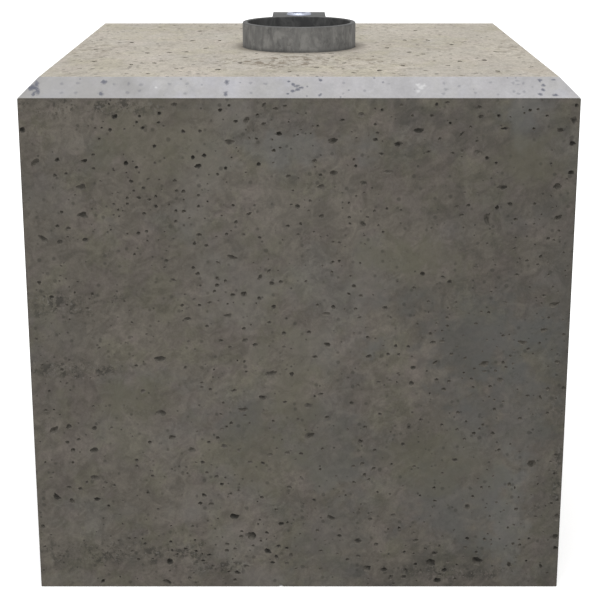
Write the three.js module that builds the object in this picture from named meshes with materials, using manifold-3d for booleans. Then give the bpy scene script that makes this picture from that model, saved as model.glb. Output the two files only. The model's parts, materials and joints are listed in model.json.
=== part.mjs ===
// Column base block: precast concrete, with a steel socket tube cast into the top and a small
// earthing pad with a bright boss behind the tube.
// Millimetres, +Z up. The origin is the middle of the underside. The front is towards -Y.

import * as THREE from 'three';
import { mergeVertices } from 'three/addons/utils/BufferGeometryUtils.js';
import Module from 'manifold-3d';

const wasm = await Module();
wasm.setup();

// Concrete block
const blockWidth = 600;      // left to right
const blockDepth = 600;      // front to back
const blockHeight = 592;
const topChamfer = 20.7;     // 45 degrees, round all four top edges
const socketFloor = 192;     // concrete left under the socket

// Socket tube, a nominal 5 inch pipe
const tubeDiameter = 141.3;
const tubeWall = 6.55;
const tubeRise = 30.5;       // how far the rim stands above the block
const rimEase = 1;           // broken edge, inside and outside the rim
const tubeSunk = 20;         // how far its foot is cast in below the socket's floor

// Earthing pad, cast into the top
const padSide = 72;
const padRise = 22.5;        // above the block
const padSunk = 8;           // below the block's top
const padBevel = 2;          // 45 degrees, round all four top edges
const padUnderBore = 8;      // steel left under the tapped hole

// Earthing boss, a low cone with the tapped hole's mouth in it
const boreDiameter = 14;
const mouthFlare = 2;        // how much wider the mouth is than the bore, each side
const bossLand = 6.5;        // flat ring round the mouth
const bossFlank = 1.25;      // how far the boss widens from its land to its foot
const bossRise = 2.5;

// Fits and facets
const castGap = 0.3;         // between steel and the concrete cast round it
const tubeSides = 96;
const bossSides = 48;

// Places worked out from the sizes
const tubeRadius = tubeDiameter / 2;
const tubeInside = tubeRadius - tubeWall;
const tubeFoot = socketFloor - tubeSunk;
const tubeTop = blockHeight + tubeRise;
const padTop = blockHeight + padRise;
const padFoot = blockHeight - padSunk;
const padHeight = padRise + padSunk;
const padCentreY = (tubeRadius + blockDepth / 2 - topChamfer) / 2;   // midway, tube to chamfer

const concrete = new THREE.MeshStandardMaterial({
  color: 0x8d8880, roughness: 0.9, metalness: 0, flatShading: true
});
const galvanised = new THREE.MeshStandardMaterial({
  color: 0x6e6d6a, roughness: 0.6, metalness: 0.7, flatShading: true
});
const stainless = new THREE.MeshStandardMaterial({
  color: 0xe0e4ec, roughness: 0.25, metalness: 1, flatShading: true
});

// A closed geometry as a solid that can be cut and joined.
function solidOf(geometry) {
  const bare = geometry.clone();
  bare.deleteAttribute('normal');
  bare.deleteAttribute('uv');
  const merged = mergeVertices(bare);
  return new wasm.Manifold(new wasm.Mesh({
    numProp: 3,
    vertProperties: new Float32Array(merged.attributes.position.array),
    triVerts: new Uint32Array(merged.index.array)
  }));
}

// A solid back as a geometry.
function geometryOf(solid) {
  const { vertProperties, triVerts } = solid.getMesh();
  const geometry = new THREE.BufferGeometry();
  geometry.setAttribute('position', new THREE.BufferAttribute(vertProperties, 3));
  geometry.setIndex(new THREE.BufferAttribute(triVerts, 1));
  geometry.computeVertexNormals();
  return geometry;
}

// A slab with two chamfered top edges, standing on z = 0 and centred. It runs along Y.
function chamferedSlab(width, length, height, chamfer) {
  const half = width / 2;
  const outline = new THREE.Shape();
  outline.moveTo(-half, 0);
  outline.lineTo(half, 0);
  outline.lineTo(half, height - chamfer);
  outline.lineTo(half - chamfer, height);
  outline.lineTo(-half + chamfer, height);
  outline.lineTo(-half, height - chamfer);
  outline.closePath();
  const slab = new THREE.ExtrudeGeometry(outline, { depth: length, bevelEnabled: false });
  return slab.translate(0, 0, -length / 2).rotateX(Math.PI / 2);
}

// A block with all four top edges chamfered: what two crossing slabs have in common.
function chamferedBlock(width, depth, height, chamfer) {
  const alongY = solidOf(chamferedSlab(width, depth, height, chamfer));
  const alongX = solidOf(chamferedSlab(depth, width, height, chamfer).rotateZ(Math.PI / 2));
  return alongY.intersect(alongX);
}

// A solid turned about Z from [radius, height] points, from the bottom outwards and up. They
// start and end on the axis, or else they go round a ring's section, which closes on itself.
function turned(points, sides) {
  const profile = points.map(([radius, height]) => new THREE.Vector2(radius, height));
  if (points[0][0] > 0) profile.push(profile[0].clone());
  return new THREE.LatheGeometry(profile, sides).rotateX(Math.PI / 2);
}

function concreteBlock() {
  const aboveTop = blockHeight + topChamfer;
  const grooveFoot = tubeFoot - castGap;
  const socket = turned([
    [0, socketFloor],
    [tubeInside - castGap, socketFloor],
    [tubeInside - castGap, grooveFoot],
    [tubeRadius + castGap, grooveFoot],
    [tubeRadius + castGap, aboveTop],
    [0, aboveTop]
  ], tubeSides);
  const pocketSide = padSide + 2 * castGap;
  const pocketFoot = padFoot - castGap;
  const padPocket = new THREE.BoxGeometry(pocketSide, pocketSide, aboveTop - pocketFoot);
  padPocket.translate(0, padCentreY, (aboveTop + pocketFoot) / 2);
  const block = chamferedBlock(blockWidth, blockDepth, blockHeight, topChamfer);
  return geometryOf(block.subtract(solidOf(socket)).subtract(solidOf(padPocket)));
}

function socketTube() {
  return turned([
    [tubeInside, tubeFoot],
    [tubeRadius, tubeFoot],
    [tubeRadius, tubeTop - rimEase],
    [tubeRadius - rimEase, tubeTop],
    [tubeInside + rimEase, tubeTop],
    [tubeInside, tubeTop - rimEase]
  ], tubeSides);
}

function earthingPad() {
  const pad = chamferedBlock(padSide, padSide, padHeight, padBevel);
  const boreTop = padHeight + padBevel;
  const bore = turned([
    [0, padUnderBore],
    [boreDiameter / 2, padUnderBore],
    [boreDiameter / 2, boreTop],
    [0, boreTop]
  ], bossSides);
  return geometryOf(pad.subtract(solidOf(bore)));
}

function earthingBoss() {
  const bore = boreDiameter / 2;
  const mouth = bore + mouthFlare;
  const land = mouth + bossLand;
  return turned([
    [bore, 0],
    [land + bossFlank, 0],
    [land, bossRise],
    [mouth, bossRise]
  ], bossSides);
}

function named(name, geometry, material) {
  const mesh = new THREE.Mesh(geometry, material);
  mesh.name = name;
  return mesh;
}

const base = new THREE.Group();
base.name = 'column_base_block';
base.add(named('concrete_block', concreteBlock(), concrete));
base.add(named('socket_tube', socketTube(), galvanised));

const earthing = new THREE.Group();
earthing.position.set(0, padCentreY, 0);
const pad = named('earthing_pad', earthingPad(), galvanised.clone());
pad.position.z = padFoot;
const boss = named('earthing_boss', earthingBoss(), stainless);
boss.position.z = padTop;
earthing.add(pad, boss);
base.add(earthing);

export default base;
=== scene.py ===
# Column base block: precast concrete with a steel socket tube and, behind it, an earthing pad.
# Metres, +Z up. The front is towards -Y.

import bmesh
import bpy
import json
from math import pi, radians
from mathutils import Matrix, Vector, noise
from random import Random


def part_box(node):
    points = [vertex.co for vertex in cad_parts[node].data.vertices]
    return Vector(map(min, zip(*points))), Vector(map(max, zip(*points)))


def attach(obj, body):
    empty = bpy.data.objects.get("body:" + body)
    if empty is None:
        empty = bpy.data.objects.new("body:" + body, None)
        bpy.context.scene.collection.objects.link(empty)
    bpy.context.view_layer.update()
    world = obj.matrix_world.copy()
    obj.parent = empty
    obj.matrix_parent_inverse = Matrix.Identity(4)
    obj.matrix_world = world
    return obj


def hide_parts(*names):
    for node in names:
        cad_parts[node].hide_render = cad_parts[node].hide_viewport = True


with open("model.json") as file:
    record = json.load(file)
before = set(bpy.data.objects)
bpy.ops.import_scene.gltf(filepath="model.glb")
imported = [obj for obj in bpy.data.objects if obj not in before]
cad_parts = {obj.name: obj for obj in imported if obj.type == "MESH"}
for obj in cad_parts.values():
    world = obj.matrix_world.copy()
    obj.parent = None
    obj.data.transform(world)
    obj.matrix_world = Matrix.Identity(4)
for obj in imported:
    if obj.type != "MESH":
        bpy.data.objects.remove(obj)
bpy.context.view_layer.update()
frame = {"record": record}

mm = 0.001
tiny = 1e-5
castGap = 0.3 * mm   # between steel and the concrete cast round it

blockLow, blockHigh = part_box("concrete_block")
tubeLow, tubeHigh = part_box("socket_tube")
padLow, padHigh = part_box("earthing_pad")
bossLow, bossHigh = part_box("earthing_boss")
padMiddle = (padLow + padHigh) / 2
mountPlaces = {mount["name"]: Vector(mount["pos_m"]) for mount in frame["record"]["mounts"]}


# Camera

camera = {
    "lens": 87.79,
    "sensor": 36.0,
    "inFront": 1.5469,     # from the block's front face
    "height": 0.80844,     # above the floor
    "looksDown": 15.071,   # degrees
    "shift": (0.0016, -0.0639),
}


def makeCamera():
    data = bpy.data.cameras.new("camera")
    data.lens = camera["lens"]
    data.sensor_width = camera["sensor"]
    data.shift_x, data.shift_y = camera["shift"]
    data.dof.use_dof = False
    made = bpy.data.objects.new("camera", data)
    made.location = (0, blockLow.y - camera["inFront"], camera["height"])
    made.rotation_euler = (radians(90 - camera["looksDown"]), 0, 0)
    bpy.context.scene.collection.objects.link(made)
    bpy.context.scene.camera = made


# Shader nodes

def feed(tree, socket, value):
    if isinstance(value, bpy.types.NodeSocket):
        tree.links.new(value, socket)
    else:
        socket.default_value = value


def addNode(tree, kind, feeds=None, **settings):
    made = tree.nodes.new("ShaderNode" + kind)
    for name, value in settings.items():
        setattr(made, name, value)
    for name, value in (feeds or {}).items():
        feed(tree, made.inputs[name], value)
    return made


def maths(tree, operation, first, second=0.0):
    return addNode(tree, "Math", {0: first, 1: second}, operation=operation).outputs[0]


def times(tree, first, second):
    return maths(tree, "MULTIPLY", first, second)


def ramp(tree, value, start, end, low=0.0, high=1.0):
    # goes smoothly from low, where value is start, to high, where it is end
    feeds = {"Value": value, "From Min": start, "From Max": end, "To Min": low, "To Max": high}
    return addNode(tree, "MapRange", feeds, interpolation_type="SMOOTHSTEP").outputs["Result"]


def blend(tree, factor, first, second, mode="MIX"):
    # sockets 0, 6 and 7 are the factor and the two colours, and output 2 is the colour
    made = addNode(tree, "Mix", {0: factor, 6: first, 7: second}, data_type="RGBA", blend_type=mode)
    return made.outputs[2]


def lay(tree, base, over, mask, share=1.0):
    # one colour laid over another where the mask is, at that share of its strength
    return blend(tree, mask if share == 1.0 else times(tree, mask, share), base, over)


def cloud(tree, place, size, detail=3.0, roughness=0.55, distortion=0.0):
    # noise whose patches are about size across, in metres
    feeds = {"Vector": place, "Scale": 0.5 / size, "Detail": detail, "Roughness": roughness,
             "Distortion": distortion}
    return addNode(tree, "TexNoise", feeds).outputs["Fac"]


def stretched(tree, place, scale=(1, 1, 1), shift=(0, 0, 0)):
    feeds = {"Vector": place, "Scale": scale, "Location": shift}
    return addNode(tree, "Mapping", feeds).outputs["Vector"]


def slanting(tree, place, lean, longer):
    # a place for streaks that lean up to the right by so many degrees, and are that much longer
    feeds = {"Vector": place, "Scale": (longer, 1, 1), "Rotation": (0, radians(-lean), 0)}
    return addNode(tree, "Mapping", feeds, vector_type="TEXTURE").outputs["Vector"]


def raggedness(tree, place, size, amount):
    # about 0, for a stain's outline
    return times(tree, maths(tree, "SUBTRACT", cloud(tree, place, size), 0.5), amount)


def fromAxis(tree, place):
    # how far a point is from the upright axis
    flat = addNode(tree, "VectorMath", {0: place, 1: (1, 1, 0)}, operation="MULTIPLY").outputs[0]
    return addNode(tree, "VectorMath", {0: flat}, operation="LENGTH").outputs["Value"]


def colour(red, green, blue):
    return (red, green, blue, 1.0)


def makeGroup(name, inputs, outputs):
    tree = bpy.data.node_groups.new(name, "ShaderNodeTree")
    for label, value in inputs.items():
        kind = "NodeSocketVector" if isinstance(value, tuple) else "NodeSocketFloat"
        tree.interface.new_socket(label, in_out="INPUT", socket_type=kind).default_value = value
    for label in outputs:
        tree.interface.new_socket(label, in_out="OUTPUT", socket_type="NodeSocketFloat")
    return tree, tree.nodes.new("NodeGroupInput").outputs, tree.nodes.new("NodeGroupOutput").inputs


def useGroup(tree, group, **feeds):
    made = addNode(tree, "Group", node_tree=group)
    for name, value in feeds.items():
        feed(tree, made.inputs[name], value)
    return made.outputs


def makeGrainGroup():
    # sand and cement grain: a value about 0.5
    tree, given, out = makeGroup("grain", {"Place": (0, 0, 0), "Size": 0.002}, ["Grain"])
    scale = maths(tree, "DIVIDE", 0.5, given["Size"])
    coarse = addNode(tree, "TexNoise", {"Vector": given["Place"], "Scale": scale, "Detail": 2.0})
    fineScale = times(tree, scale, 3.1)
    fine = addNode(tree, "TexNoise", {"Vector": given["Place"], "Scale": fineScale, "Detail": 3.0})
    both = maths(tree, "ADD", coarse.outputs["Fac"], fine.outputs["Fac"])
    feed(tree, out["Grain"], times(tree, both, 0.5))
    return tree


def makePinholeGroup():
    # round pinholes too small to model: 1 inside one
    inputs = {"Place": (0, 0, 0), "Spacing": 0.01, "Widest": 0.0008, "Blur": 0.00025}
    tree, given, out = makeGroup("pinholes", inputs, ["Mask"])
    scale = maths(tree, "DIVIDE", 1.0, given["Spacing"])
    cells = addNode(tree, "TexVoronoi", {"Vector": given["Place"], "Scale": scale, "Randomness": 1.0})
    away = times(tree, cells.outputs["Distance"], given["Spacing"])
    chance = addNode(tree, "SeparateColor", {"Color": cells.outputs["Color"]}).outputs["Red"]
    radius = times(tree, maths(tree, "POWER", chance, 2.0), given["Widest"])
    inDepth = maths(tree, "SUBTRACT", radius, away)
    feed(tree, out["Mask"], ramp(tree, inDepth, -0.1 * mm, given["Blur"]))
    return tree


def makeSpotGroup():
    # one stain about a centre: 1 in its middle, fading to 0 at Reach, with Rough for its outline
    inputs = {"Place": (0, 0, 0), "Centre": (0, 0, 0), "Reach": (0.03, 0.03, 0.03), "Rough": 0.0}
    tree, given, out = makeGroup("stain spot", inputs, ["Mask"])
    apart = addNode(tree, "VectorMath", {0: given["Place"], 1: given["Centre"]}, operation="SUBTRACT")
    inReach = addNode(tree, "VectorMath", {0: apart.outputs[0], 1: given["Reach"]}, operation="DIVIDE")
    away = addNode(tree, "VectorMath", {0: inReach.outputs[0]}, operation="LENGTH").outputs["Value"]
    feed(tree, out["Mask"], ramp(tree, maths(tree, "ADD", away, given["Rough"]), 1.0, 0.25))
    return tree


def makeArrisGroup():
    # how far a point of the formed sides is from the nearest arris, and how deep it is in the block
    tree, given, out = makeGroup("block arrises", {"Place": (0, 0, 0)}, ["Away", "Deep"])
    axes = addNode(tree, "SeparateXYZ", {"Vector": given["Place"]}).outputs
    across = maths(tree, "ABSOLUTE", axes["X"])
    along = maths(tree, "ABSOLUTE", axes["Y"])
    half = blockHigh.x
    fromSide = maths(tree, "SUBTRACT", half, maths(tree, "MINIMUM", across, along))
    fromTop = maths(tree, "SUBTRACT", blockHigh.z - concrete["chamfer"], axes["Z"])
    fromEnds = maths(tree, "MINIMUM", axes["Z"], fromTop)
    feed(tree, out["Away"], maths(tree, "MINIMUM", fromSide, fromEnds))
    feed(tree, out["Deep"], maths(tree, "SUBTRACT", half, maths(tree, "MAXIMUM", across, along)))
    return tree


def makeMaterial(name, **plain):
    # plain: values that are the same all over, set on the shader's own sockets
    made = bpy.data.materials.new(name)
    made.use_nodes = True
    tree = made.node_tree
    shader = tree.nodes["Principled BSDF"]
    for label, value in plain.items():
        shader.inputs[label.replace("_", " ")].default_value = value
    place = addNode(tree, "TexCoord").outputs["Object"]
    return made, tree, shader.inputs, place


def setFinish(tree, sockets, base, height, bump, strength=1.0, roughness=None):
    # bump: how deep the height goes, in metres
    feed(tree, sockets["Base Color"], base)
    if roughness is not None:
        feed(tree, sockets["Roughness"], roughness)
    made = addNode(tree, "Bump", {"Height": height, "Distance": bump, "Strength": strength})
    feed(tree, sockets["Normal"], made.outputs["Normal"])


# Meshes

def newPiece(name, bm, materials):
    data = bpy.data.meshes.new(name)
    bm.to_mesh(data)
    bm.free()
    made = bpy.data.objects.new(name, data)
    bpy.context.scene.collection.objects.link(made)
    for material in materials:
        data.materials.append(material)
    return made


def addTurned(bm, profile, steps, middle=(0, 0)):
    # a closed solid turned about Z from (radius, height) points
    axis = Vector((middle[0], middle[1], 0))
    points = [bm.verts.new(axis + Vector((radius, 0, height))) for radius, height in profile]
    edges = [bm.edges.new(pair) for pair in zip(points, points[1:])]
    if profile[0][0] > 0:
        edges.append(bm.edges.new((points[-1], points[0])))
    bmesh.ops.spin(bm, geom=points + edges, cent=axis, axis=(0, 0, 1), angle=2 * pi, steps=steps,
                   use_merge=True)
    bmesh.ops.remove_doubles(bm, verts=bm.verts, dist=tiny)
    bmesh.ops.recalc_face_normals(bm, faces=bm.faces)


def addBox(bm, low, high):
    made = bmesh.ops.create_cube(bm, size=1)["verts"]
    bmesh.ops.scale(bm, vec=high - low, verts=made)
    bmesh.ops.translate(bm, vec=(low + high) / 2, verts=made)


def bevelEdges(bm, edges, offset, segments):
    bmesh.ops.bevel(bm, geom=edges, offset=offset, offset_type="OFFSET", segments=segments, profile=0.5,
                    affect="EDGES", material=-1)


def smoothBelow(piece, angle):
    # smooth shading, with edges sharper than the angle kept sharp
    bm = bmesh.new()
    bm.from_mesh(piece.data)
    for face in bm.faces:
        face.smooth = True
    for edge in bm.edges:
        edge.smooth = edge.calc_face_angle(0) < radians(angle)
    bm.to_mesh(piece.data)
    bm.free()


def cutFrom(piece, cutters):
    for cutter in cutters:
        cut = piece.modifiers.new("cut", "BOOLEAN")
        cut.object = cutter
        cut.operation = "DIFFERENCE"
        cut.solver = "MANIFOLD"
        cut.material_mode = "INDEX"
    whole = piece.evaluated_get(bpy.context.evaluated_depsgraph_get())
    cutMesh = bpy.data.meshes.new_from_object(whole)
    piece.modifiers.clear()
    piece.data = cutMesh
    for cutter in cutters:
        bpy.data.objects.remove(cutter)


def standFor(piece, node):
    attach(piece, "root")
    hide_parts(node)


# Concrete block

concrete = {
    "chamfer": 20.7 * mm,
    "ease": 0.8 * mm,        # the slightly blunt arrises
    "easeSegments": 2,
    "cutterSteps": 128,
}

# the block's material slots, in order
formedSide, floatedTop, chamferFace, holeInside, freshChip = range(5)


def makeBlockBody():
    bm = bmesh.new()
    addBox(bm, blockLow, blockHigh)
    onTop = [e for e in bm.edges if all(v.co.z > blockHigh.z - tiny for v in e.verts)]
    bevelEdges(bm, onTop, concrete["chamfer"], 1)
    arrises = [e for e in bm.edges if e.calc_face_angle(0) > radians(20)]
    bevelEdges(bm, arrises, concrete["ease"], concrete["easeSegments"])
    for face in bm.faces:
        rise = face.normal.z
        if rise > 0.9:
            face.material_index = floatedTop
        elif rise > 0.55:
            face.material_index = chamferFace
    return bm


def socketCutter():
    # the pocket that the tube stands in: a plug round its outside and a groove for its foot
    outside = tubeHigh.x + castGap
    inside = tubeHigh.x - tube["wall"] - castGap
    foot = tubeLow.z - castGap
    floor = mountPlaces["socket_floor"].z
    above = tubeHigh.z
    bm = bmesh.new()
    profile = [(0, floor), (inside, floor), (inside, foot), (outside, foot), (outside, above), (0, above)]
    addTurned(bm, profile, concrete["cutterSteps"])
    return newPiece("socket_cutter", bm, [])


def padCutter():
    gap = Vector((castGap, castGap, castGap))
    bm = bmesh.new()
    addBox(bm, padLow - gap, padHigh + gap)
    return newPiece("pad_cutter", bm, [])


# Air holes: what vibration leaves against the mould. Sizes are in millimetres here.

airHoles = {
    "narrowest": 2.2,
    "moreAcross": 1.15,      # widths fall off by e over this much
    "widest": 6.0,
    "longer": 0.9,           # how much longer than wide they may be
    "upright": 0.25,         # share of them that are taller than wide
    "slant": 35,             # how far a random one may turn, in degrees
    "bend": 0.35,
    "deep": 0.84,            # from the top to the bottom of a lump, for its width
    "faintDeep": 0.5,
    "steep": 0.6,            # a lump's wall: 0.5 is round and 1 a cone
    "gentle": 1.1,
    "finerOver": 6.8,        # wider ones have more faces
    "finerHidden": 8.5,      # and on the sides and the back
    "gap": 0.6,              # least concrete left between two
    "clear": 0.6,            # what a placed hole keeps clear round its middle, for its length
    "margin": 3.0,           # least concrete left at an arris
    "beside": 2.0,           # and beside the steel
    "ragged": 0.21,
    "reach": 0.68,           # how far a ragged, bent one reaches from its middle, for its length
    "cell": 12.0,            # of the grid that neighbours are looked up in
    "triesEach": 60,
    "readily": 0.32,         # how readily one settles: everywhere, in patches, fine ones and crowds
    "inPatch": 0.6,
    "inFinePatch": 0.45,
    "inCrowd": 0.8,
    "patch": 110,            # how far across a patch is
    "finePatch": 35,
    "frontSide": 500,        # how many random ones
    "otherSides": 240,
    "top": 220,
    "topLarger": 1.35,       # how much larger those on top are
    "slants": 25,            # how far those placed on top may turn, in degrees
    "seed": 41,
}

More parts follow.
